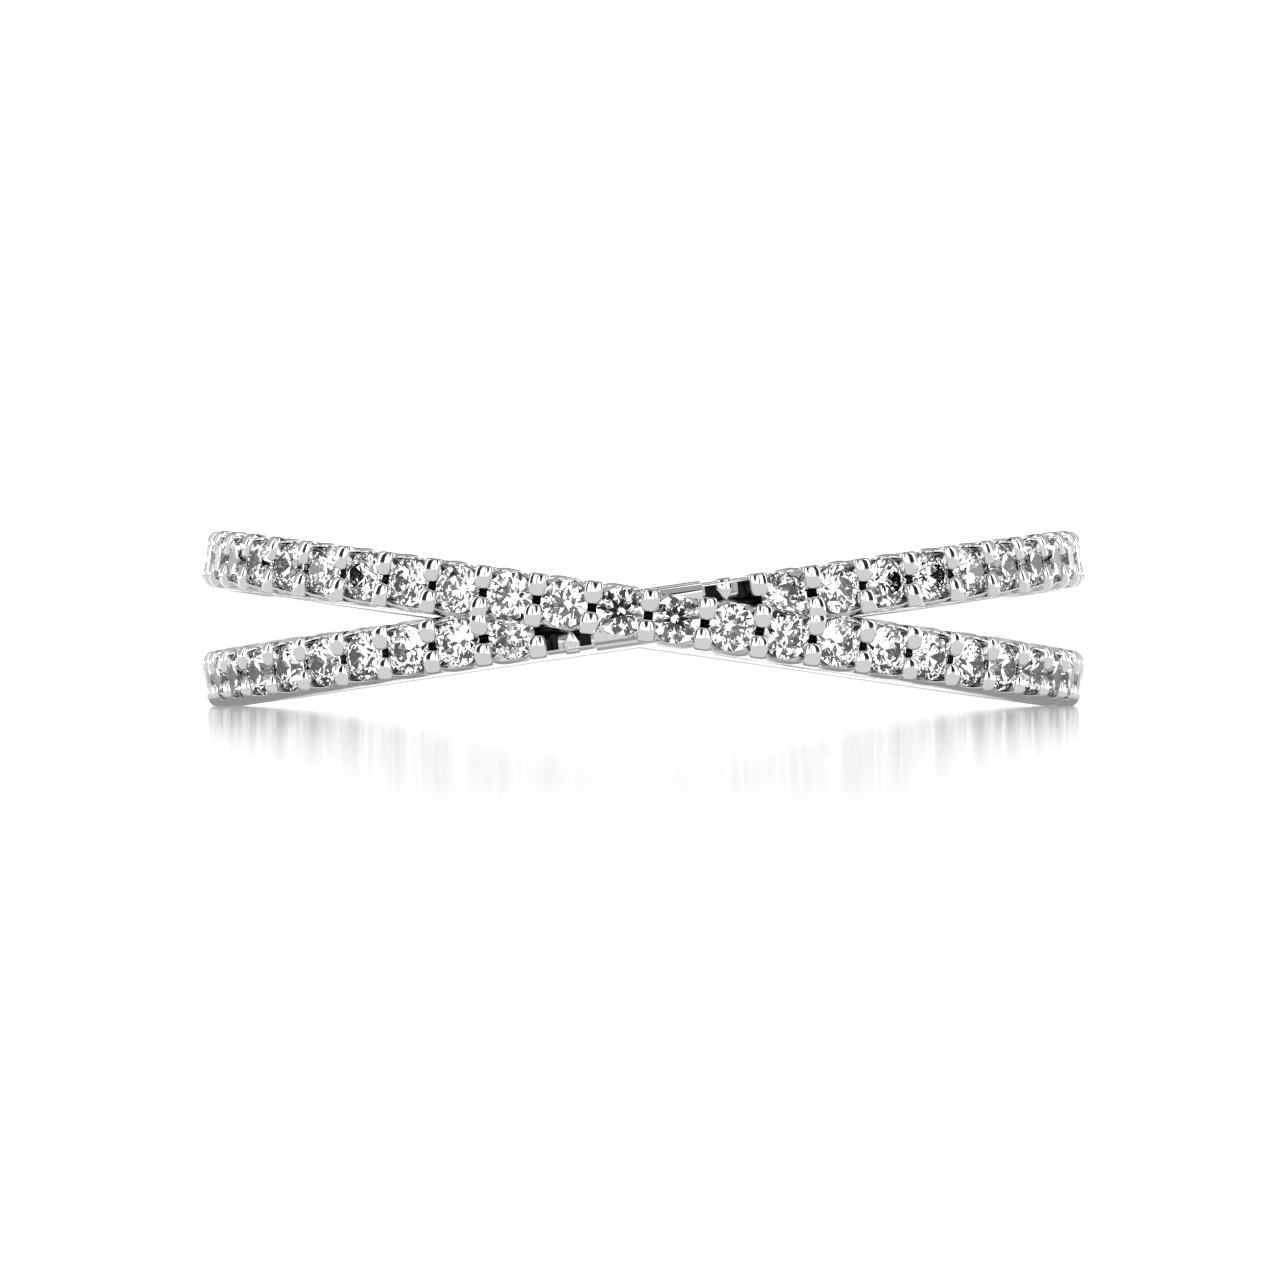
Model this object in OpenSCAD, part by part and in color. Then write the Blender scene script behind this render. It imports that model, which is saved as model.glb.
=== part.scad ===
// Crossover ring: two narrow hoops that lean opposite ways and cross at the front and at the back.
// The finger axis is +Z, the front of the ring faces -Y, and the ring lies on its side on z = 0.

/* [Finger hole] */
// Bore across the finger hole
bore_d = 17; // [16:0.1:18]

/* [Hoops] */
// Radial height of a hoop, from the bore to the tips of its prongs
band_t = 1.7; // [1.65:0.01:1.8]
// Width of a hoop, square to its own plane
band_w = 1.37; // [1.36:0.01:1.44]
// Width that is left between the two flanks at the prong tips
crest_w = 0.94; // [0.9:0.01:1]
// Radial height of the square lower part of a hoop
base_t = 0.95; // [0.9:0.01:1]
// Angle by which each hoop leans out of level
lean = 8.05; // [7.9:0.05:8.3]

/* [Stones] */
// Diameter of a stone at its girdle
stone_d = 1.06; // [1.02:0.01:1.07]
// Places for stones in one whole turn of a hoop
places = 50; // [50:1:51]
// Stones on each side of the crossing in the hoop that lies over
over_count = 12; // [8:1:12]
// Stones on each side of the crossing in the hoop that lies under
under_count = 10; // [6:1:10]
// Places without a stone on each side of the crossing in the hoop that lies under
under_bare = 2; // [2:1:2]
// Depth of a stone's table below the prong tips
table_drop = 0.07; // [0.05:0.01:0.09]
// Extra depth of the two stones that tuck in beside the hoop over them
tuck_drop = 0.28; // [0.26:0.01:0.3]
// Angle by which those two stones stand off from their even places
tuck_shift = 0.4; // [0.3:0.1:0.5]
// Distance off the middle of the hoop at which the flank beside those two stones is cut
tuck_side = 0.55; // [0.52:0.01:0.58]
// Room between a stone and its seat
seat_gap = 0.03; // [0.02:0.01:0.04]

/* [Prongs] */
// Diameter of the opening through which a stone shows
window_d = 0.9; // [0.86:0.01:0.92]
// Diameter of the U-shaped cut that bares a stone's edge on both flanks
scallop_d = 0.8; // [0.76:0.01:0.82]
// Depth of that cut below the prong tips
scallop_drop = 0.3; // [0.28:0.01:0.31]
// Length of that cut across a hoop
scallop_w = 1.2; // [1.18:0.01:1.24]
// Gap between the two prongs of a pair
prong_gap = 0.18; // [0.16:0.01:0.2]
// Depth of that gap below the prong tips
prong_drop = 0.2; // [0.18:0.01:0.22]

/* [Crossing] */
// Depth to which the lower hoop is cut back where the upper one passes over it
relief_drop = 0.5; // [0.48:0.01:0.54]
// Width of that cut along the upper hoop
relief_w = 1.2; // [1.18:0.01:1.24]
// Angle each way from the front over which the lower hoop has no prongs
bare_angle = 11.9; // [11.7:0.1:12.1]
// Height of the web that closes the sharp notch between the hoops where they cross
web_h = 1.5; // [1.46:0.01:1.54]

/* [Hidden] */
$fn = 48;
hoop_sides = 192;

bore_r = bore_d / 2;
crest_r = bore_r + band_t;
base_r = bore_r + base_t;
pitch = 360 / places;
// Height of the finger axis' middle above the table: the lowest edge is the base corner of a limb
mid_z = base_r * sin(lean) + band_w / 2 * cos(lean);

// Cut of a stone, as shares of its diameter
girdle_r = stone_d / 2;
table_r = 0.56 * girdle_r;
crown_h = 0.15 * stone_d;
girdle_h = 0.03 * stone_d;
pavilion_h = 0.43 * stone_d;
stone_sides = 16;
table_sides = 8;

girdle_place_r = crest_r - table_drop - crown_h - girdle_h / 2;
// Angle each way from a crossing over which its web runs
notch_angle = 5;
// Share of a place by which a groove runs past the middle of its last prongs
groove_past = 0.2;
// Angles between which the prongs of the lower hoop are split, on each side of the front
split_from = (under_bare + groove_past) * pitch;
split_to = (under_bare + under_count + groove_past) * pitch;
// Length by which a cut runs past the metal, and width of the bevel at the prong tips
past = 1;
trim = 0.12;

// Angles of the stones, counted from the front towards +X
function over_angles() = [for (side = [-1, 1], i = [0:over_count - 1]) side * (i + 0.5) * pitch];
function under_angles() =
    [for (side = [-1, 1], i = [1:under_count - 1]) side * (i + under_bare + 0.5) * pitch];
function tucked_angles() = [for (side = [-1, 1]) side * ((under_bare + 0.5) * pitch + tuck_shift)];

// Half the outline of a hoop's section, from the bore outwards, mirrored about the middle
function half_section() = [
    [bore_r - band_t / 4, band_w / 2],
    [base_r, band_w / 2],
    [(base_r + crest_r) / 2, (band_w + crest_w) / 4 + trim / 3],
    [crest_r - trim, crest_w / 2],
    [crest_r, crest_w / 2 - trim]
];
function mirrored(half) =
    concat(half, [for (i = [len(half) - 1:-1:0]) [half[i][0], -half[i][1]]]);

// Leans a level hoop: side is 1 for the one that falls towards +X and -1 for the other
module leaning(side) {
    translate([0, 0, mid_z]) rotate([0, side * lean, 0]) children();
}

// Carries a shape from the origin to a place on a level hoop, with its +Z pointing outwards
module on_hoop(angle, radius) {
    rotate([0, 0, angle]) translate([0, -radius, 0]) rotate([90, 0, 0]) children();
}

// Stretch of a level hoop's round path, centred on the front
module front_stretch(half_angle) {
    rotate([0, 0, -90 - half_angle]) rotate_extrude(angle = 2 * half_angle, $fn = hoop_sides) children();
}

module plain_hoop() {
    rotate_extrude($fn = hoop_sides) polygon(mirrored(half_section()));
}

// Room for a stone alone: its cone, its girdle and the slope of its crown, all a gap wider
module seat() {
    r = girdle_r + seat_gap;
    top = girdle_h / 2 + seat_gap;
    slope = crown_h / (girdle_r - table_r);
    rotate_extrude() polygon([
        [0, -girdle_h / 2 - pavilion_h - 3 * seat_gap],
        [r, -girdle_h / 2 - seat_gap],
        [r, top],
        [table_r, top + (r - table_r) * slope],
        [0, top + (r - table_r) * slope]
    ]);
}

// Seat with the opening above it, whose rim stops short of the girdle and so holds the stone
module open_seat() {
    seat();
    cylinder(d = window_d, h = past);
}

// U-shaped cut across a hoop at a stone
module scallop(angle) {
    rotate([0, 0, angle]) translate([0, scallop_drop - scallop_d / 2 - crest_r, 0])
        cylinder(d = scallop_d, h = scallop_w, center = true);
}

// Groove that splits each bar between two stones into an upper and a lower prong
module prong_groove(half_angle) {
    front_stretch(half_angle)
        translate([crest_r - prong_drop, -prong_gap / 2]) square([past, prong_gap]);
}

// Level web inside a crossing, which blunts a sharp notch between the hoops
module web(half_angle, top_r, height) {
    inner_r = bore_r - band_t / 4;
    translate([0, 0, mid_z]) front_stretch(half_angle)
        translate([inner_r, -height / 2]) square([top_r - inner_r, height]);
}

// Room along the upper hoop, which is taken out of the lower one
module over_pass() {
    leaning(1) front_stretch((under_bare + 1) * pitch)
        translate([crest_r - relief_drop, -relief_w / 2]) square([past, relief_w]);
}

// The lower hoop before its stones and prongs are cut: cut back where the other passes over it
module under_blank() {
    difference() {
        leaning(-1) plain_hoop();
        leaning(-1) front_stretch(bare_angle)
            translate([crest_r - relief_drop, -band_w]) square([past, 2 * band_w]);
        over_pass();
    }
}

// Both hoops are one casting, and all that is cut from them is cut after they meet
module crossed_hoops() {
    color("gainsboro") difference() {
        union() {
            leaning(1) plain_hoop();
            under_blank();
            web(notch_angle, base_r, web_h);
            rotate([0, 0, 180]) web(notch_angle, base_r, web_h);
        }
        leaning(1) prong_groove((over_count + groove_past) * pitch);
        leaning(-1) for (side = [-1, 1])
            rotate([0, 0, side * (split_from + split_to) / 2]) prong_groove((split_to - split_from) / 2);
        leaning(1) for (a = over_angles()) scallop(a);
        leaning(-1) for (a = under_angles()) scallop(a);
        leaning(-1) for (a = tucked_angles()) translate([0, 0, sign(a) * tuck_side]) scallop(a);
        leaning(1) for (a = over_angles()) on_hoop(a, girdle_place_r) open_seat();
        leaning(-1) for (a = under_angles()) on_hoop(a, girdle_place_r) open_seat();
        leaning(-1) for (a = tucked_angles()) on_hoop(a, girdle_place_r - tuck_drop) seat();
        translate([0, 0, -past]) cylinder(r = bore_r, h = 2 * mid_z + 2 * past, $fn = hoop_sides);
    }
}

// Round cut stone: an eight-sided table, a crown, a thin girdle and a pointed pavilion
module cut_stone() {
    table = [for (i = [0:table_sides - 1]) let (a = 360 / table_sides * i)
        [table_r * cos(a), table_r * sin(a), girdle_h / 2 + crown_h]];
    upper = [for (i = [0:stone_sides - 1]) let (a = 360 / stone_sides * i)
        [girdle_r * cos(a), girdle_r * sin(a), girdle_h / 2]];
    lower = [for (p = upper) [p[0], p[1], -girdle_h / 2]];
    culet = [[0, 0, -girdle_h / 2 - pavilion_h]];
    u = table_sides;
    l = u + stone_sides;
    c = l + stone_sides;
    faces = concat(
        [[for (i = [table_sides - 1:-1:0]) i]],
        [for (i = [0:table_sides - 1]) [i, (i + 1) % table_sides, u + 2 * i + 1]],
        [for (i = [0:table_sides - 1]) [i, u + 2 * i + 1, u + 2 * i]],
        [for (i = [0:table_sides - 1])
            [(i + 1) % table_sides, u + (2 * i + 2) % stone_sides, u + 2 * i + 1]],
        [for (i = [0:stone_sides - 1]) let (j = (i + 1) % stone_sides) [u + i, u + j, l + j, l + i]],
        [for (i = [0:stone_sides - 1]) [l + i, l + (i + 1) % stone_sides, c]]
    );
    polyhedron(concat(table, upper, lower, culet), faces);
}

module over_row_stones() {
    color("white") leaning(1) for (a = over_angles()) on_hoop(a, girdle_place_r) cut_stone();
}

module under_row_stones() {
    color("white") leaning(-1) {
        for (a = under_angles()) on_hoop(a, girdle_place_r) cut_stone();
        for (a = tucked_angles()) on_hoop(a, girdle_place_r - tuck_drop) cut_stone();
    }
}

crossed_hoops();
over_row_stones();
under_row_stones();
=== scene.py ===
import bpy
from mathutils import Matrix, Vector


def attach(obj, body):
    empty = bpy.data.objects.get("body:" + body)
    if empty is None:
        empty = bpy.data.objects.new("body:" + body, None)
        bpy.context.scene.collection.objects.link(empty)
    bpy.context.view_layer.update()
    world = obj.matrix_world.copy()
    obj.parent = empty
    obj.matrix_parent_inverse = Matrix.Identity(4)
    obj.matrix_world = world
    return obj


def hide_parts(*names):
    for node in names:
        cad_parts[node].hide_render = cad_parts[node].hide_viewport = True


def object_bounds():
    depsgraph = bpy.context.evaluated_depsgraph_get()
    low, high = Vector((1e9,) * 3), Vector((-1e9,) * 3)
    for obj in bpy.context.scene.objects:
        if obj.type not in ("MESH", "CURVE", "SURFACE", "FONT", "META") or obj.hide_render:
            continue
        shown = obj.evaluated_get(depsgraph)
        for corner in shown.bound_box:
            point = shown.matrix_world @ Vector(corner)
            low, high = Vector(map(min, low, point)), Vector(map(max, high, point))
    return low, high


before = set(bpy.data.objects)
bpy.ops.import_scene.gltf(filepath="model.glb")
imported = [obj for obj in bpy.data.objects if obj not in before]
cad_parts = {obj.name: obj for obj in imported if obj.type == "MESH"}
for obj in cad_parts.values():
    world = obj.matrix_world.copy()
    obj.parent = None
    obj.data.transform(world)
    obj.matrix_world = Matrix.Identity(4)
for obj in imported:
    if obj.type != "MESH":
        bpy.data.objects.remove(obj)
cad_box = [list(corner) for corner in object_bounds()]

import math

import bmesh
import bpy
import numpy as np


# Table, room and camera. The ring lies on a pale glossy table in a white room, and a few dark cards
# stand in that room, because polished metal and cut stones show only what they reflect. The camera
# looks level at the front, from just above the table and from some way off.
class Wire:
    """An output socket of a node tree: arithmetic on it adds Math nodes, and add() makes any other node."""

    def __init__(self, tree, socket=None):
        self.tree = tree
        self.socket = socket

    def add(self, kind, settings=None, values=None, out=0):
        """Makes a node, sets its settings and then its sockets, by name or number, and wraps one output."""
        made = self.tree.nodes.new(kind)
        for name, value in (settings or {}).items():
            setattr(made, name, value)
        for name, value in (values or {}).items():
            if isinstance(value, Wire):
                self.tree.links.new(value.socket, made.inputs[name])
            else:
                made.inputs[name].default_value = value
        return Wire(self.tree, made.outputs[out] if len(made.outputs) else None)

    def maths(self, operation, *terms):
        settings = {"operation": operation}
        return self.add("ShaderNodeMath", settings, dict(enumerate(terms)))

    def __add__(self, other):
        return self.maths("ADD", self, other)

    def __sub__(self, other):
        return self.maths("SUBTRACT", self, other)

    def __rsub__(self, other):
        return self.maths("SUBTRACT", other, self)

    def __mul__(self, other):
        return self.maths("MULTIPLY", self, other)

    def __abs__(self):
        return self.maths("ABSOLUTE", self)

    def __getitem__(self, axis):
        return self.add("ShaderNodeSeparateXYZ", None, {0: self}, axis)

    def most(self, *others):
        """The largest of this number and the others."""
        largest = self
        for other in others:
            largest = self.maths("MAXIMUM", largest, other)
        return largest

    def step(self, low, high):
        """Smooth step of this number, from 0 at low to 1 at high."""
        settings = {"interpolation_type": "SMOOTHSTEP"}
        return self.add("ShaderNodeMapRange", settings, {0: self, 1: low, 2: high})

    def band(self, middle, half_width, soft):
        """1 within half_width of the middle, falling smoothly to 0 over the next soft."""
        return 1 - abs(self - middle).step(half_width, half_width + soft)

    def colour(self, at_0, at_1):
        """Colour between two others, at the share that this number gives. The colour sockets of a Mix
        node are numbers 6 and 7, and its colour output is number 2."""
        return self.add("ShaderNodeMix", {"data_type": "RGBA"}, {0: self, 6: at_0, 7: at_1}, 2)

    __radd__ = __add__
    __rmul__ = __mul__


# Light of the white walls, and of the table where the ring reflects it.
ROOM_LIGHT = 2.0
TABLE_SEEN = 0.74
# Dark cards, each as its middle, half its width and its soft edge, in radians round the room from the
# camera's direction. A height in the room is the sine of the angle above level.
INNER_CARD = (0.46, 0.04, 0.04)
OUTER_CARD = (1.2, 0.25, 0.08)
FAR_CARD = (2.4, 0.5, 0.2)
FAR_CARD_DARK = 0.75
CARD_HEIGHTS = (0.5, 0.36, 0.05)
CARD_DARK = 0.99
# The near card is a wedge over the camera, which spreads as it rises from its foot.
WEDGE_SPREAD = 0.4
WEDGE_EDGE = (-0.03, 0.01)
WEDGE_FOOT = (0.24, 0.33)
# The back card is a strip high up all along the far side of the room.
BACK_CARD_FROM = (-0.5, -0.2)
BACK_CARD_HEIGHTS = (0.74, 0.12, 0.04)
BACK_CARD_DARK = 0.84
# The lens of the camera, which only the stones show, as an angle about its direction.
LENS_EDGE = (0.32, 0.39)
CEILING_FROM = (0.8, 0.88)
CEILING_DARK = 0.8
# The foot of the wall behind the camera looks as dim as the table does.
SWEEP_TOP = (0.08, 0.16)
SWEEP_SIDES = (-0.3, 0.3)
# What a stone lets through is brighter by this share.
STONE_GAIN = 0.3
world = bpy.data.worlds.new("studio")
bpy.context.scene.world = world
world.use_nodes = True
world.node_tree.nodes.clear()
sky = Wire(world.node_tree)
toward = sky.add("ShaderNodeTexCoord", out="Generated")
toward_camera = 0 - toward[1]
upward = toward[2]
round_the_room = abs(sky.maths("ARCTAN2", toward[0], toward_camera))
off_lens = sky.maths("SQRT", round_the_room * round_the_room + upward * upward)
to_camera = sky.add("ShaderNodeLightPath", out="Is Camera Ray")
from_facet = sky.add("ShaderNodeLightPath", out="Is Singular Ray")
through_stone = sky.add("ShaderNodeLightPath", out="Is Transmission Ray")

wedge = round_the_room - WEDGE_SPREAD * upward
near_card = (1 - wedge.step(*WEDGE_EDGE)) * upward.step(*WEDGE_FOOT)
inner_card = round_the_room.band(*INNER_CARD)
outer_card = round_the_room.band(*OUTER_CARD)
far_card = FAR_CARD_DARK * round_the_room.band(*FAR_CARD)
upright = near_card.most(inner_card, outer_card, far_card) * upward.band(*CARD_HEIGHTS)
back_card = BACK_CARD_DARK * (1 - toward_camera.step(*BACK_CARD_FROM)) * upward.band(*BACK_CARD_HEIGHTS)
lens = (1 - off_lens.step(*LENS_EDGE)) * from_facet
cards = upright.most(back_card, lens)
ceiling = upward.step(*CEILING_FROM)
wall = ROOM_LIGHT * (1 - CARD_DARK * cards) * (1 - CEILING_DARK * ceiling)
sweep = (1 - upward.step(*SWEEP_TOP)) * toward_camera.step(*SWEEP_SIDES)
sweep = sweep * (1 - lens) * (1 - through_stone)
room_light = (wall + sweep * (TABLE_SEEN - wall)) * (1 + STONE_GAIN * through_stone)
# The camera itself sees plain white.
seen = room_light + (1 - room_light) * to_camera
white = sky.add("ShaderNodeBackground", None, {"Color": (1, 1, 1, 1), "Strength": seen})
sky.add("ShaderNodeOutputWorld", None, {"Surface": white})

TABLE_SIDE = 1.2
corners = np.array([[-1, -1, 0], [1, -1, 0], [1, 1, 0], [-1, 1, 0]]) * TABLE_SIDE / 2
table_mesh = bpy.data.meshes.new("table")
table_mesh.from_pydata(corners.tolist(), [], [(0, 1, 2, 3)])
table = bpy.data.objects.new("table", table_mesh)
bpy.context.collection.objects.link(table)

# The camera sees white paint that mirrors at a low slant, most of all near the ring.
PAINT_GLOW = 0.9
PAINT_GREY = (0.16, 0.16, 0.16, 1)
POLISH_ROUGH = 0.045
POLISH_SHARE = 0.68
POLISH_ENDS = (0.09, 0.19)
POLISH_NEARER = 0.2
NEARER_ENDS = (0.172, 0.187)
# The metal sees a bright strip under the back of the ring, a dark far end, light in the finger hole
# and the shadow of the hoops, each from where it begins to where it is full, in m.
STRIP_STARTS = (0.002, 0.008)
STRIP_ENDS = (0.0105, 0.016)
STRIP_LIGHT = 1.3
DARK_END_FROM = (0.025, 0.06)
DARK_END_LIGHT = 0.25
HOLE_EDGE = (0.0066, 0.008)
HOLE_LIGHT = 0.5
SHADOW_RING = (0.0094, 0.0008, 0.0004)
SHADOW_DARK = 0.55
# The stones see the table dark in front of the ring, and bright from close to it on.
STONE_SEES = 0.12
STONE_SEES_MORE = 1.4
STONE_SEES_FROM = (-0.018, -0.015)
gloss_paint = bpy.data.materials.new("pale_gloss_paint")
gloss_paint.use_nodes = True
gloss_paint.node_tree.nodes.clear()
paint = Wire(gloss_paint.node_tree)
glow = paint.add("ShaderNodeEmission", None, {"Color": (1, 1, 1, 1), "Strength": PAINT_GLOW})
matt = paint.add("ShaderNodeBsdfDiffuse", None, {"Color": PAINT_GREY})
lit = paint.add("ShaderNodeAddShader", None, {0: glow, 1: matt})
mirror = paint.add("ShaderNodeBsdfGlossy", None, {"Color": (1, 1, 1, 1), "Roughness": POLISH_ROUGH})
spot = paint.add("ShaderNodeTexCoord", out="Object")
far = paint.maths("SQRT", spot[0] * spot[0] + spot[1] * spot[1])
slant = paint.add("ShaderNodeLayerWeight", None, {"Blend": 0.5}, "Facing")
grazing = slant * slant * slant * slant
shine = POLISH_SHARE - POLISH_SHARE * far.step(*POLISH_ENDS) + POLISH_NEARER * (1 - far.step(*NEARER_ENDS))
shine = shine * grazing * grazing
polished = paint.add("ShaderNodeMixShader", None, {0: shine, 1: lit, 2: mirror})
bright_strip = spot[1].step(*STRIP_STARTS) - spot[1].step(*STRIP_ENDS)
dark_end = spot[1].step(*DARK_END_FROM)
finger_hole = 1 - far.step(*HOLE_EDGE)
shadow = far.band(*SHADOW_RING)
seen_by_metal = (
    TABLE_SEEN + bright_strip * (STRIP_LIGHT - TABLE_SEEN) - dark_end * (TABLE_SEEN - DARK_END_LIGHT)
)
seen_by_metal = (seen_by_metal + HOLE_LIGHT * finger_hole) * (1 - SHADOW_DARK * shadow)
seen_by_stone = STONE_SEES + spot[1].step(*STONE_SEES_FROM) * STONE_SEES_MORE
through_stone = paint.add("ShaderNodeLightPath", out="Is Transmission Ray")
seen_by_ring = paint.add("ShaderNodeEmission", None, {
    "Color": (1, 1, 1, 1), "Strength": seen_by_metal + through_stone * (seen_by_stone - seen_by_metal)
})
direct = paint.add("ShaderNodeLightPath", out="Is Camera Ray")
top = paint.add("ShaderNodeMixShader", None, {0: direct, 1: seen_by_ring, 2: polished})
paint.add("ShaderNodeOutputMaterial", None, {"Surface": top})
table_mesh.materials.append(gloss_paint)

PHOTO_SIDE = 1280
RING_MIDDLE_PX = 643.5
CROSSING_PX = 615.5
PX_PER_MM = 43.4
VIEW_MM = 210
EYE_MM = 0.35
VIEW_TURN = math.radians(0.6)
lens_px = PX_PER_MM * VIEW_MM
ring_middle_mm = (cad_box[0][2] + cad_box[1][2]) / 2 * 1000
front_mm = -cad_box[0][1] * 1000
horizon_px = CROSSING_PX + (ring_middle_mm - EYE_MM) * lens_px / (VIEW_MM - front_mm)
camera_data = bpy.data.cameras.new("camera")
camera_data.sensor_width = 36
camera_data.lens = camera_data.sensor_width * lens_px / PHOTO_SIDE
camera_data.clip_start = 0.001
camera_data.clip_end = 10
camera = bpy.data.objects.new("camera", camera_data)
bpy.context.collection.objects.link(camera)
camera.location = (
    -VIEW_MM * math.sin(VIEW_TURN) / 1000,
    -VIEW_MM * math.cos(VIEW_TURN) / 1000,
    EYE_MM / 1000,
)
camera.rotation_euler = (
    math.pi / 2 + math.atan((horizon_px - PHOTO_SIDE / 2) / lens_px),
    0,
    -VIEW_TURN + math.atan((RING_MIDDLE_PX - PHOTO_SIDE / 2) / lens_px),
)
bpy.context.scene.camera = camera
bpy.context.scene.view_settings.view_transform = "Standard"


# Hoops, two narrow bands of white gold cast in one piece, which lean opposite ways and cross at the
# front and at the back. The front half of each is drilled for its stones and scalloped along both
# edges, and the back half is plain and rounded. Everything is cut and polished after casting.
BORE_R = 8.5
CREST_R = (cad_box[1][1] - cad_box[0][1]) / 2 * 1000
BASE_R = 9.45
BAND_HALF = 0.685
CREST_HALF = 0.68
# Share by which both hoops are narrower at the crossings than at the sides.
TAPER = 0.095
LEAN = math.radians(8.05)
# How far a hoop's surface stays short of the box of the solids, in height and in width.
SHORT_OF_BOX = 0.003
# Stones on each side of the crossing, and how many places of these the hoop that lies under leaves bare.
STONES_A_SIDE = 12
UNDER_BARE = 2
PITCH = math.radians(7.2)
GIRDLE_R = 0.53
GIRDLE_PLACE = CREST_R - 0.245
PAVILION_SLOPE = math.tan(math.radians(40.8))
# Extra depth of the stone on each side of the crossing in the hoop that lies under.
TUCK_DROP = 0.14
# Cut for a stone: its scallop in the flank, the seat's gap below the stone, and the web that closes the
# seat at the bottom, with a groove along its middle.
SCALLOP_R = 0.4
SCALLOP_PLACE = CREST_R - 0.02
SEAT_GAP = 0.03
WEB_DEEP = 0.42
GROOVE_DEEP = 0.3
GROOVE_HALF = 0.2
# Edge between flank and land: its depth below the crest, its rounding and the bevel under it.
RIM_DROP = 0.12
RIM_ROUND = 0.045
BEVEL_HIGH = 0.13
BEVEL_DEEP = 0.058
PLAIN_ROUND = 0.14
# Waist of the flank between two cells, with its start and its full depth along the crest and by radius.
WAIST_DEEP = 0.06
WAIST_ALONG = (0.25, 0.48)
WAIST_UP = (9.3, 9.7)
# Rounding of the corner between bore and flank.
EDGE_ROUND = 0.07
# Angles from the front between which the edges at the sides of the ring are worn round, and by how
# much higher a bevel and steeper a shoulder is there.
WORN_FROM = (0.8, 1.4)
WORN_TO = (1.75, 2.2)
WORN_HIGHER = 1.5
WORN_STEEPER = 2
# Depths below the crest over which painted shade darkens a recess by a first share, and deeper down by the
# rest.
PIT_SHADE_FIRST = 0.3
PIT_SHADE_SHALLOW = (0.16, 0.3)
PIT_SHADE_DEEP = (0.5, 0.62)
SLOT_FLOOR = CREST_R - 0.62
SLOT_SOFT = 0.003
LIP_STEP = 0.01
BACK_COLUMNS = 200
# The hoop that lies under: how much lower its back crest is, and how much wider its bore.
UNDER_DEEPER = 0.03
UNDER_WIDER = 0.01
BACK_FROM = math.radians(110)
BACK_FULL = math.radians(130)
HOOP_SHARP = math.radians(38)


def smooth(x, low, high):
    """Cubic step from 0 at low to 1 at high."""
    t = np.clip((x - low) / (high - low), 0, 1)
    return t * t * (3 - 2 * t)


def on_hoop(lean_side, angle, radius, along, short=SHORT_OF_BOX):
    """Places in mm: the level point radius from the axis, at an angle from the front towards +X and
    along the axis, turned about Y by the lean towards lean_side and lifted to the ring's middle. Both
    hoops are filed off just short of the height and the width of the solids."""
    turn = lean_side * LEAN
    x, y = radius * np.sin(angle), -radius * np.cos(angle)
    height = along * math.cos(turn) - x * math.sin(turn)
    high = ring_middle_mm - short
    wide = cad_box[1][0] * 1000 - short
    return np.stack([
        (x * math.cos(turn) + along * math.sin(turn)).clip(-wide, wide),
        y + 0 * along,
        height.clip(-high, high) + ring_middle_mm,
    ], axis=-1)


def bore_radius(lean_side, angle, along):
    """Radius on a leaned hoop at which the distance from the finger axis is that of the bore: the
    positive root of the quadratic that on_hoop's x and y give. The hoop that lies under has a hair
    more, so that the two surfaces are never in one place where the hoops cross."""
    turn = lean_side * LEAN
    bore = BORE_R + UNDER_WIDER * (lean_side < 0)
    a = np.sin(angle) ** 2 * math.cos(turn) ** 2 + np.cos(angle) ** 2
    b = np.sin(angle) * math.cos(turn) * along * math.sin(turn)
    c = (along * math.sin(turn)) ** 2 - bore**2
    return (-b + np.sqrt(b * b - a * c)) / a


def flank(radius):
    """Half the width of a hoop at a radius: full up to the base, then drawn in a little to the crest."""
    return np.interp(radius, [BASE_R, CREST_R], [BAND_HALF, CREST_HALF])


def band_share(angle):
    """A hoop's width at an angle as a share of its full width, which it has at the sides: it is a
    little narrower at both crossings."""
    return 1 - TAPER * np.cos(angle) ** 2


def at_side(angle):
    """1 at both sides of the ring, where its edges are worn round, and 0 at the front and the back."""
    return smooth(np.abs(angle), *WORN_FROM) * (1 - smooth(np.abs(angle), *WORN_TO))


def stone_angles(first, count):
    """Angles of the stones on both sides of the crossing, half a pitch off the even places."""
    one_side = (np.arange(first, first + count) + 0.5) * PITCH
    return np.concatenate([-one_side[::-1], one_side])


def to_nearest(angle, places):
    """Distance along the crest from an angle to the nearest of the places."""
    return np.min(np.abs(angle[..., None] - places), axis=-1) * GIRDLE_PLACE


def tuck(lean_side, angle):
    """Extra depth of a stone: that of a tucked one in the third place of the hoop that lies under."""
    return TUCK_DROP * ((lean_side < 0) & (np.abs(angle) < (UNDER_BARE + 1) * PITCH))


def make_piece(name, points, faces, material, sharp=None):
    """Object at the origin with its place, given in mm, in its mesh. It is flat on every face, or where
    a sharp angle is given smooth but for the edges past it."""
    mesh = bpy.data.meshes.new(name)
    mesh.from_pydata((points / 1000).tolist(), [], faces)
    if sharp:
        mesh.polygons.foreach_set("use_smooth", np.ones(len(mesh.polygons), bool))
        mesh.set_sharp_from_angle(angle=sharp)
    mesh.materials.append(material)
    piece = bpy.data.objects.new(name, mesh)
    bpy.context.collection.objects.link(piece)
    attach(piece, "root")
    return piece


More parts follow.
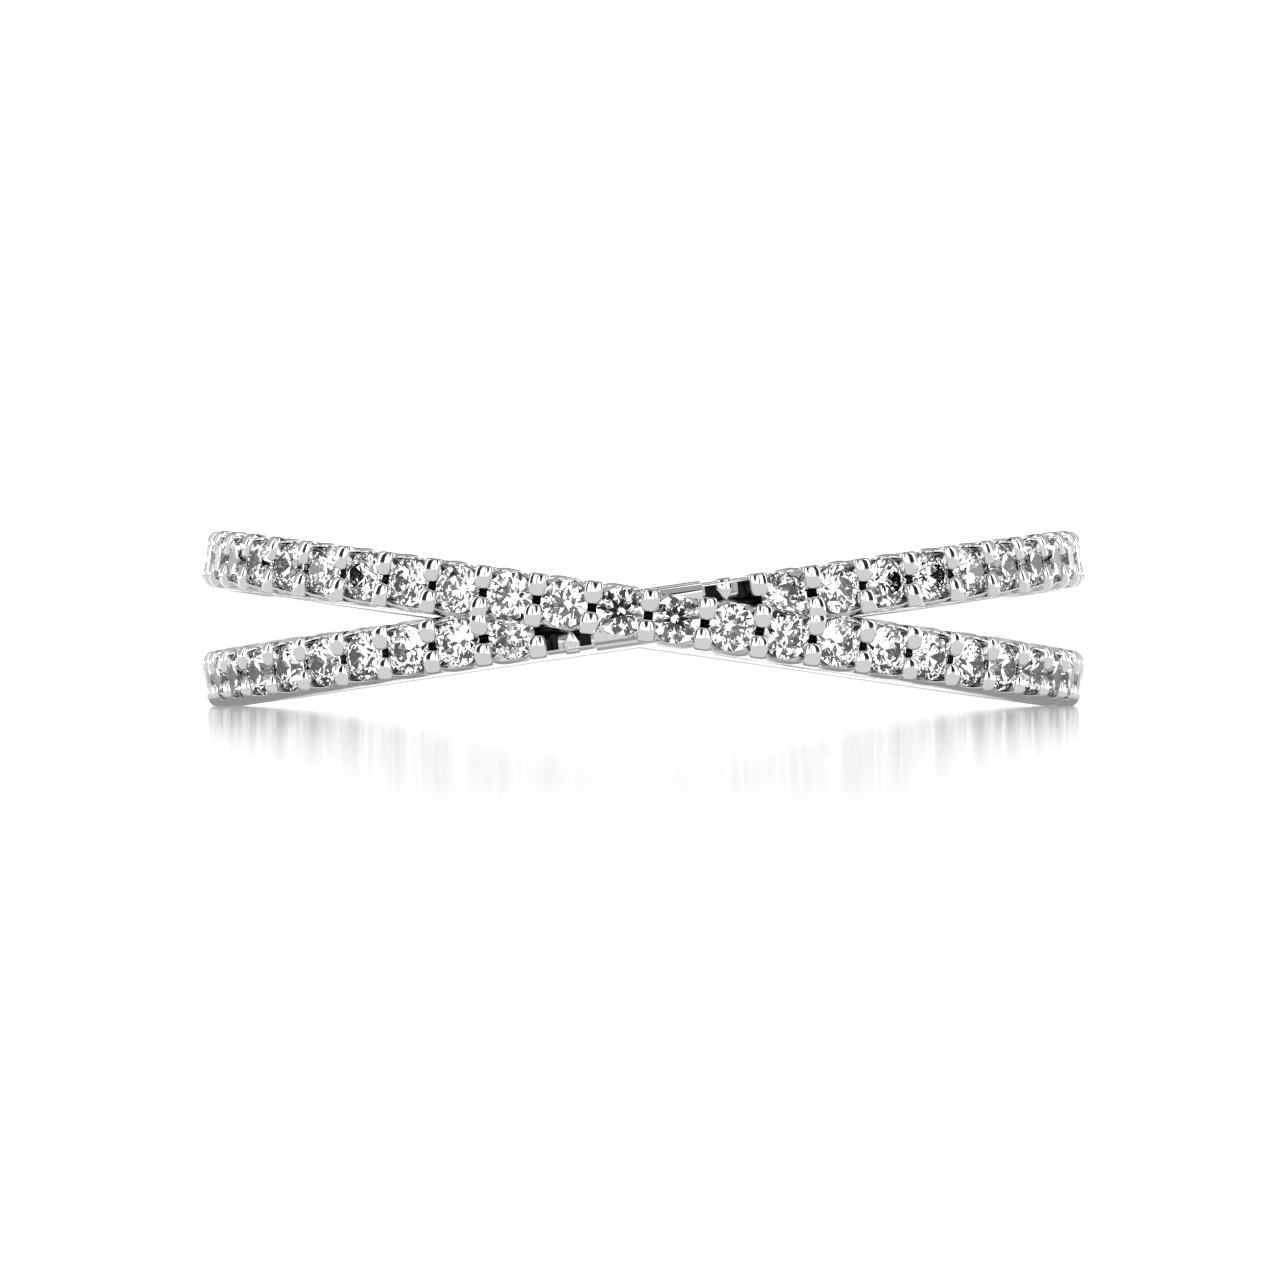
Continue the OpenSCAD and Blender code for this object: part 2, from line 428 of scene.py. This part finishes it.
def grid_mesh(name, points, painted_pit_shade, material):
    """Closed mesh of a grid of points in mm that joins up both ways, one quad to a cell. The painted
    shade of each point, from 0 on the open surface to 1 in a deep cut, goes along as an attribute."""
    rows, columns = points.shape[:2]
    index = np.arange(rows * columns).reshape(rows, columns)
    below, right = np.roll(index, -1, axis=0), np.roll(index, -1, axis=1)
    across = np.roll(below, -1, axis=1)
    quads = np.stack([index, right, across, below], axis=-1).reshape(-1, 4)
    piece = make_piece(name, points.reshape(-1, 3), quads.tolist(), material, HOOP_SHARP)
    depth = piece.data.attributes.new("painted_pit_shade", "FLOAT", "POINT")
    depth.data.foreach_set("value", painted_pit_shade.ravel().astype(np.float32))
    return piece


white_gold = bpy.data.materials.new("polished_white_gold")
white_gold.use_nodes = True
white_gold.node_tree.nodes.clear()
gold = Wire(white_gold.node_tree)
place = gold.add("ShaderNodeTexCoord", out="Object")
tone = gold.add("ShaderNodeTexNoise", None, {"Vector": place, "Scale": 420.0, "Detail": 4.0})
wipes = gold.add("ShaderNodeTexNoise", None, {
    "Vector": gold.add("ShaderNodeMapping", None, {"Vector": place, "Scale": (1, 1, 9)}),
    "Scale": 2600.0,
    "Detail": 3.0,
})
metal_tone = tone.colour((0.80, 0.80, 0.81, 1), (0.90, 0.90, 0.90, 1))
# Painted shade: this attribute turns the metal's colour near black, and rougher, in the seats, slots and
# pits, where shade falls.
painted_pit_shade = gold.add("ShaderNodeAttribute", {"attribute_name": "painted_pit_shade"}, None, "Fac")
metal_with_painted_pit_shade = painted_pit_shade.colour(metal_tone, (0.03, 0.03, 0.032, 1))
fine_lines = gold.add("ShaderNodeBump", None, {
    "Strength": 0.06, "Distance": 0.00002, "Height": wipes
})
shiny = gold.add("ShaderNodeBsdfPrincipled", None, {
    "Base Color": metal_with_painted_pit_shade,
    "Metallic": 1.0,
    "Roughness": 0.07 + tone * 0.08 + painted_pit_shade * 0.35,
    "Normal": fine_lines,
})
gold.add("ShaderNodeOutputMaterial", None, {"Surface": shiny})


def cell_columns(first, count):
    """Angles of the columns over count places from the first on, closest together at the two walls of
    each scallop, so that a wall lies between two columns."""
    near_wall = np.array([0.12, 0.22, 0.3, 0.35, 0.38, 0.395, 0.4, 0.403, 0.42, 0.46, 0.52, 0.58])
    across = np.concatenate([-near_wall[::-1], [0], near_wall])
    middles = (np.arange(first, first + count) + 0.5) * PITCH
    return (middles[:, None] + across[None, :] / GIRDLE_PLACE).ravel()


def hoop_points(lean_side, stones, front, stone_set, slots):
    """Grid of a hoop's surface. Each column is the closed outline of the section at one angle: the
    bore, a rounded corner, the flank with its bevel, a rounded rim, and the land between the two rims.
    Where stone_set is 1 the rim dips in a round scallop at each stone, the flank has a waist between
    two stones and the land is drilled to the stone's own cone. Where it is 0 all rise to the plain
    crest. A slot cuts the land down to its floor."""
    end = front[-1]
    back = np.linspace(end, 2 * math.pi + front[0], BACK_COLUMNS)[1:-1]
    angle = np.concatenate([front, back])[:, None]
    signed = (angle + math.pi) % (2 * math.pi) - math.pi
    stone_set = stone_set(np.abs(signed))

    u = to_nearest(signed, stones)
    scallop = SCALLOP_PLACE - np.sqrt(np.clip(SCALLOP_R**2 - u**2, 0, None))
    rim_front = np.minimum(np.where(u < SCALLOP_R, scallop, CREST_R), CREST_R - RIM_DROP)
    rim = stone_set * rim_front + (1 - stone_set) * (CREST_R - RIM_DROP)
    cut = 0 * signed
    for middle, half_width in slots:
        off_slot = np.abs(np.abs(signed) - middle)
        cut = np.maximum(cut, 1 - smooth(off_slot, half_width, half_width + SLOT_SOFT))

    bore_v = np.linspace(0, BAND_HALF - EDGE_ROUND, 4, endpoint=False)
    turn = np.linspace(0, math.pi / 2, 4)
    corner_v = BAND_HALF - EDGE_ROUND * (1 - np.sin(turn))
    corner_rise = EDGE_ROUND * (1 - np.cos(turn))
    inner_v = np.concatenate([bore_v, corner_v])[None, :] + 0 * angle
    inner_r = bore_radius(lean_side, signed, inner_v)
    inner_r = inner_r + np.concatenate([0 * bore_v, corner_rise])[None, :]

    bevel_end = rim - RIM_ROUND
    bevel_high = BEVEL_HIGH * (1 + WORN_HIGHER * at_side(signed))
    share = np.array([0.2, 0.4, 0.58, 0.62, 0.74, 0.78, 0.9])[None, :]
    low_r = inner_r[:, -1:] + (bevel_end - bevel_high - inner_r[:, -1:]) * share
    bevel_r = bevel_end - bevel_high * np.array([1.08, 0.92, 0.5, 0.08, 0])[None, :]
    flank_r = np.concatenate([low_r, bevel_r], axis=1)
    waist = WAIST_DEEP * stone_set * smooth(u, *WAIST_ALONG)
    bevel = BEVEL_DEEP * (1 + at_side(signed)) * ((flank_r - bevel_end) / bevel_high + 1).clip(0, 1)
    flank_v = flank(flank_r) - waist * smooth(flank_r, *WAIST_UP) - bevel

    over_rim = np.radians([18, 36, 54, 72, 90, 100])[None, :]
    lip_v = flank_v[:, -1:] - RIM_ROUND * (1 - np.cos(over_rim))
    lip_r = flank_r[:, -1:] + RIM_ROUND * np.sin(over_rim)
    land_v = (lip_v[:, -1:] - LIP_STEP) * np.linspace(1, 0, 14)[None, :]
    distance = np.hypot(u, land_v)
    seat_place = GIRDLE_PLACE - tuck(lean_side, signed)
    cone = seat_place - SEAT_GAP - (GIRDLE_R + SEAT_GAP - distance) * PAVILION_SLOPE
    web = CREST_R - WEB_DEEP - GROOVE_DEEP * np.exp(-((land_v / GROOVE_HALF) ** 2))
    land_front = np.minimum(cone, web)
    land_plain = CREST_R - RIM_DROP + RIM_DROP * smooth(lip_v[:, -1:] - land_v, 0, PLAIN_ROUND)
    land_r = stone_set * land_front + (1 - stone_set) * land_plain
    land_r = land_r - cut * (land_r - SLOT_FLOOR).clip(0, None)

    half_r = np.concatenate([inner_r, flank_r, lip_r, land_r], axis=1)
    half_v = np.concatenate([inner_v, flank_v, lip_v, land_v], axis=1) * band_share(signed)
    # How far the land lies below the crest sets the painted shade of the recesses, which darkens the metal
    # there.
    depth = CREST_R - land_r
    pit_shade = PIT_SHADE_FIRST * smooth(depth, *PIT_SHADE_SHALLOW) + (1 - PIT_SHADE_FIRST) * smooth(depth, *PIT_SHADE_DEEP)
    half_pit_shade = np.concatenate([0 * inner_r, 0 * flank_r, 0 * lip_r, pit_shade], axis=1)
    radius = np.concatenate([half_r, half_r[:, -2:0:-1]], axis=1)
    along = np.concatenate([half_v, -half_v[:, -2:0:-1]], axis=1)
    painted_pit_shade = np.concatenate([half_pit_shade, half_pit_shade[:, -2:0:-1]], axis=1)
    return signed, radius, along, painted_pit_shade


# The last prongs, the place where the cuts have faded out and the end of the dense columns, in pitches.
LAST_PRONGS = 12.05
FADED_OUT = 12.35
TAIL_END = 13
TAIL_COLUMNS = 12


def last_fade(angle):
    """1 over the stone-set front and 0 behind it, past the last prongs."""
    return 1 - smooth(angle, LAST_PRONGS * PITCH, FADED_OUT * PITCH)


over_stones = stone_angles(0, STONES_A_SIDE)
tail = np.linspace(LAST_PRONGS, TAIL_END, TAIL_COLUMNS) * PITCH
cells = cell_columns(-STONES_A_SIDE, 2 * STONES_A_SIDE)
front = np.concatenate([-tail[::-1], cells, tail])
signed, radius, along, painted_pit_shade = hoop_points(1, over_stones, front, last_fade, [])
over_hoop = grid_mesh("over_hoop", on_hoop(1, signed, radius, along), painted_pit_shade, white_gold)
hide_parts("crossed_hoops")

# The under hoop is bare up to its first stone's seat on each side, but for two slots.
BARE_TO = math.radians(7.0)
SEATS_FROM = math.radians(7.3)
SLOTS = [(math.radians(12.7), math.radians(0.45)), (math.radians(8.65), math.radians(0.7))]
CROSSING_END = 1.995
CROSSING_COLUMNS = 200
set_places = STONES_A_SIDE - UNDER_BARE
under_stones = stone_angles(UNDER_BARE, set_places)
crossing = np.linspace(-CROSSING_END, CROSSING_END, CROSSING_COLUMNS) * PITCH
left, right = cell_columns(-STONES_A_SIDE, set_places), cell_columns(UNDER_BARE, set_places)
front = np.concatenate([-tail[::-1], left, crossing, right, tail])
signed, radius, along, painted_pit_shade = hoop_points(
    -1, under_stones, front,
    lambda angle: last_fade(angle) * smooth(angle, BARE_TO, SEATS_FROM),
    SLOTS,
)
deeper = UNDER_DEEPER * smooth(np.abs(signed), BACK_FROM, BACK_FULL)
radius = radius - deeper * ((radius - BORE_R) / (CREST_R - BORE_R)).clip(0, 1)
under_hoop = grid_mesh("under_hoop", on_hoop(-1, signed, radius, along), painted_pit_shade, white_gold)

# At the front it goes through below the seats of the other hoop: its mesh is cut along four planes
# level with that hoop, and what lies between the inner two goes down to TUNNEL_R.
TUNNEL_R = CREST_R - 0.85
SEAM_IN, SEAM_OUT = 0.5, 0.515
FRONT_Y = -6
over_axis = np.array([math.sin(LEAN), 0, math.cos(LEAN)])
centre = np.array([0, 0, ring_middle_mm])
shape = bmesh.new()
shape.from_mesh(under_hoop.data)
for offset in (-SEAM_OUT, -SEAM_IN, SEAM_IN, SEAM_OUT):
    faces = [face for face in shape.faces if face.verts[0].co.y < FRONT_Y / 1000]
    edges = list({edge for face in faces for edge in face.edges})
    corners = list({vertex for face in faces for vertex in face.verts})
    bmesh.ops.bisect_plane(
        shape, geom=corners + edges + faces, dist=1e-9,
        plane_co=(centre + over_axis * offset) / 1000, plane_no=over_axis,
    )
shape.to_mesh(under_hoop.data)
shape.free()
flat = np.empty(len(under_hoop.data.vertices) * 3)
under_hoop.data.vertices.foreach_get("co", flat)
x, y, height = (flat.reshape(-1, 3) * 1000 - centre).T
level = x * math.cos(LEAN) + height * math.sin(LEAN)
along = height * math.cos(LEAN) - x * math.sin(LEAN)
off_seat = np.abs(x * over_axis[0] + height * over_axis[2])
inside = (y < FRONT_Y) & (off_seat < (SEAM_IN + SEAM_OUT) / 2)
sunk = np.where(inside, np.minimum(1, TUNNEL_R / np.hypot(level, y)), 1)
under_hoop.data.vertices.foreach_set("co", (np.stack([
    level * sunk * math.cos(LEAN) - along * math.sin(LEAN),
    y * sunk,
    level * sunk * math.sin(LEAN) + along * math.cos(LEAN),
], axis=-1) + centre).ravel() / 1000)
under_hoop.data.set_sharp_from_angle(angle=HOOP_SHARP)
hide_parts("crossed_hoops")


# Prongs, raised from the same casting: a pair stands between every two stones, one on each edge of
# the hoop. Each rises up the flank, bends in over the edges of both stones and ends in a filed,
# rounded tip, which leaves a narrow dark gap between it and the other one of its pair.
PRONG_HALF = 0.21
PRONG_IN = 0.085
PRONG_OUT = 0.665
PRONG_DROP = 0.003
TIP_BENDS = 0.40
SHOULDER_BENDS = 0.36
BEND_LONG = 0.30
BEND_DEEP = 0.06
TIP_SQUARE = 3.2
FOOT_SQUARE = 6.0
DOME_WIDE = 0.05
PRONG_SIDES = 40
PRONG_SHORT_OF_BOX = 0.001
PRONG_SHARP = math.radians(50)
# A narrow pointed prong stands alone between the two slots on each side of the crossing.
POINTED_HALF = 0.2
POINTED_DROP = 0.12
POINTED_SQUARE = 1.1
POINTED_AT = 1.4


def prong_fall(v, side):
    """Depth of a prong's back below the crest at a distance from the middle of the hoop: level over
    its middle, and a square law down towards the tip and, steeper at the sides of the ring, towards
    the shoulder."""
    tip = ((TIP_BENDS - v) / BEND_LONG).clip(0, None)
    shoulder = ((v - SHOULDER_BENDS) / BEND_LONG).clip(0, None)
    return BEND_DEEP * (tip**2 + shoulder**2 * (1 + WORN_STEEPER * side))


def prong_shell(lean_side, angles, edge_sides, widths, top_r, tip_square=TIP_SQUARE):
    """Points of closed prongs, (prongs, rings, sides, 3). A ring is the outline of a bullet, square at
    the flank and round at the tip; rings spread from the middle of the back to a rounded edge and go
    down into the hoop."""
    turn = np.linspace(0, 2 * math.pi, PRONG_SIDES, endpoint=False)
    c, s = np.cos(turn), np.sin(turn)
    power = np.where(s < 0, 2 / tip_square, 2 / FOOT_SQUARE)
    across = np.sign(c) * np.abs(c) ** power
    inward = np.sign(s) * np.abs(s) ** power
    middle = (PRONG_IN + PRONG_OUT) / 2
    reach = (PRONG_OUT - PRONG_IN) / 2

    spread = np.array([0.15, 0.3, 0.45, 0.6, 0.73, 0.84, 0.92, 0.97, 0.99, 1.0, 1.0, 1.0, 1.0])
    edge = np.array([0, 0, 0, 0, 0.002, 0.007, 0.018, 0.036, 0.056, 0.09, 0.17, 0.3, 0.5])
    v = middle + reach * spread[:, None] * inward[None, :]
    u = widths[:, None, None] * (spread[:, None] * across[None, :])[None]
    v = np.broadcast_to(v, u.shape)
    dome = DOME_WIDE * (u / widths[:, None, None]) ** 2
    fall = prong_fall(v, at_side(angles)[:, None, None])
    r = top_r[:, None, None] - fall - dome - edge[None, :, None]
    theta = angles[:, None, None] + u / CREST_R
    along = v * edge_sides[:, None, None] * band_share(theta)
    return on_hoop(lean_side, theta, r, along, PRONG_SHORT_OF_BOX)


def shells_mesh(name, points, flipped, material):
    """One mesh of many closed shells: quads between rings and a fan to the middle of both ends. The
    flipped shells are mirrored ones, so their faces are wound the other way."""
    count, rings, sides = points.shape[:3]
    index = np.arange(count * rings * sides).reshape(count, rings, sides)
    a, b = index[:, :-1], np.roll(index[:, :-1], -1, axis=2)
    d, c = index[:, 1:], np.roll(index[:, 1:], -1, axis=2)
    quads = np.stack([a, b, c, d], axis=-1)
    flat = points.reshape(-1, 3)
    tops, bottoms = points[:, 0].mean(axis=1), points[:, -1].mean(axis=1)
    first_top = len(flat)
    first_bottom = first_top + count
    order = np.arange(count)[:, None]
    top_fan = np.stack([
        first_top + order + 0 * index[:, 0], np.roll(index[:, 0], -1, axis=1), index[:, 0]
    ], axis=-1)
    bottom_fan = np.stack([
        first_bottom + order + 0 * index[:, -1], index[:, -1], np.roll(index[:, -1], -1, axis=1)
    ], axis=-1)
    for loops in (quads, top_fan, bottom_fan):
        loops[flipped] = loops[flipped][..., ::-1]
    faces = quads.reshape(-1, 4).tolist()
    faces += top_fan.reshape(-1, 3).tolist() + bottom_fan.reshape(-1, 3).tolist()
    return make_piece(name, np.concatenate([flat, tops, bottoms]), faces, material, PRONG_SHARP)


def row_of_prongs(name, lean_side, places, pointed=()):
    """Prongs at pairs of (number of pitches from the crossing, edge), each of the usual size, and
    narrow pointed ones at others."""
    steps, edges = np.array(places, float).T
    widths = np.full(len(steps), PRONG_HALF)
    tops = np.full(len(steps), CREST_R - PRONG_DROP)
    points = prong_shell(lean_side, steps * PITCH, edges, widths, tops)
    if pointed:
        steps, more_edges = np.array(pointed, float).T
        widths = np.full(len(steps), POINTED_HALF)
        tops = np.full(len(steps), CREST_R - POINTED_DROP)
        narrow = prong_shell(lean_side, steps * PITCH, more_edges, widths, tops, POINTED_SQUARE)
        points = np.concatenate([points, narrow])
        edges = np.concatenate([edges, more_edges])
    piece = shells_mesh(name, points, edges < 0, white_gold)
    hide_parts("crossed_hoops")
    return piece


# The hoop that lies under has none below the other one, nor at the two places that its edge covers.
all_places = [(k, edge) for k in range(-STONES_A_SIDE, STONES_A_SIDE + 1) for edge in (-1, 1)]
row_of_prongs("over_prongs", 1, all_places)
covered = {(UNDER_BARE, -1), (-UNDER_BARE, 1)}
row_of_prongs("under_prongs", -1, [
    place for place in all_places if abs(place[0]) >= UNDER_BARE and place not in covered
], [(POINTED_AT, 1), (-POINTED_AT, -1)])


# Stones, clear and colourless round brilliants, all of one size. Each has a flat table ringed by star,
# kite and upper girdle facets, a thin girdle, and lower girdle and main facets that meet in a point.
# The two next to the crossing are tucked in deeper, under the edge of the hoop that passes over.
TABLE_R = 0.56 * GIRDLE_R
CROWN_SLOPE = math.tan(math.radians(34.3))
GIRDLE_THICK = 0.032
STAR_SHARE = 0.5
LOWER_SHARE = 0.7
# Most that a stone is turned about its own axis and tipped, and the range of the way it tips.
TURN_MOST = math.pi / 4
TIP_MOST = 0.03
TIP_WAYS = 6.28

clear_stone = bpy.data.materials.new("clear_cut_stone")
clear_stone.use_nodes = True
clear_stone.node_tree.nodes.clear()
stone = Wire(clear_stone.node_tree)
place = stone.add("ShaderNodeTexCoord", out="Object")
cloud = stone.add("ShaderNodeTexNoise", None, {"Vector": place, "Scale": 900.0, "Detail": 2.0})
water = cloud.colour((0.96, 0.97, 0.98, 1), (1, 1, 1, 1))
crystal = stone.add("ShaderNodeBsdfPrincipled", None, {
    "Base Color": water, "Roughness": 0.0, "IOR": 2.2, "Transmission Weight": 1.0
})
stone.add("ShaderNodeOutputMaterial", None, {"Surface": crystal})


def brilliant():
    """Points and faces of one cut stone, its table up +Z and its girdle at the origin. Facet corners
    lie on eight-fold rings, and each kite stays flat because its side corners are on its plane."""
    eighth = math.pi / 8
    main = np.arange(8) * 2 * eighth
    half = main + eighth
    sixteen = np.arange(16) * eighth
    top = GIRDLE_THICK / 2
    star_r = TABLE_R * math.cos(eighth) * (1 - STAR_SHARE) + GIRDLE_R * STAR_SHARE
    star_z = top + (GIRDLE_R - star_r * math.cos(eighth)) * CROWN_SLOPE
    table_z = top + (GIRDLE_R - TABLE_R) * CROWN_SLOPE
    lower_r = GIRDLE_R * (1 - LOWER_SHARE)
    lower_z = -top - (GIRDLE_R - lower_r * math.cos(eighth)) * PAVILION_SLOPE

    def ring(angles, r, z):
        return np.stack([r * np.cos(angles), r * np.sin(angles), np.full(len(angles), z)], axis=-1)

    points = np.concatenate([
        ring(main, TABLE_R, table_z),
        ring(half, star_r, star_z),
        ring(sixteen, GIRDLE_R, top),
        ring(sixteen, GIRDLE_R, -top),
        ring(half, lower_r, lower_z),
        [[0, 0, -top - GIRDLE_R * PAVILION_SLOPE]],
    ])
    t, m, g, h, low, culet = 0, 8, 16, 32, 48, 56
    faces = [tuple(range(8))]
    for i in range(8):
        after = (i + 1) % 8
        faces += [
            (t + i, m + i, t + after),
            (t + i, m + (i - 1) % 8, g + 2 * i, m + i),
            (m + i, g + 2 * i, g + 2 * i + 1),
            (m + i, g + 2 * i + 1, g + (2 * i + 2) % 16),
            (low + i, h + 2 * i + 1, h + 2 * i),
            (low + i, h + (2 * i + 2) % 16, h + 2 * i + 1),
            (culet, low + i, h + 2 * i, low + (i - 1) % 8),
        ]
    for j in range(16):
        k = (j + 1) % 16
        faces.append((g + j, h + j, h + k, g + k))
    return points, faces


def row_of_stones(name, lean_side, angles, drops, seed):
    """One mesh of all the stones of a hoop, each turned about its own axis and tipped by a hair, as
    stones set by hand are. Turns and tips come from a seeded draw."""
    points, faces = brilliant()
    draw = np.random.default_rng(seed)
    all_points, all_faces = [], []
    for angle, drop in zip(angles, drops):
        turn = draw.uniform(0, TURN_MOST)
        tip = draw.uniform(0, TIP_MOST)
        tip_way = draw.uniform(0, TIP_WAYS)
        x = points[:, 0] * math.cos(turn) - points[:, 1] * math.sin(turn)
        y = points[:, 0] * math.sin(turn) + points[:, 1] * math.cos(turn)
        z = points[:, 2] + tip * (x * math.cos(tip_way) + y * math.sin(tip_way))
        all_faces += [tuple(len(all_points) * len(points) + i for i in face) for face in faces]
        radius = GIRDLE_PLACE - drop + z
        flat_x = radius * math.sin(angle) + x * math.cos(angle)
        flat_y = -radius * math.cos(angle) + x * math.sin(angle)
        theta = np.arctan2(flat_x, -flat_y)
        all_points.append(on_hoop(lean_side, theta, np.hypot(flat_x, flat_y), y))
    return make_piece(name, np.concatenate(all_points), all_faces, clear_stone)


over_row = row_of_stones("over_stones", 1, over_stones, tuck(1, over_stones), seed=3)
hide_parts("over_row_stones")

under_row = row_of_stones("under_stones", -1, under_stones, tuck(-1, under_stones), seed=8)
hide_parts("under_row_stones")
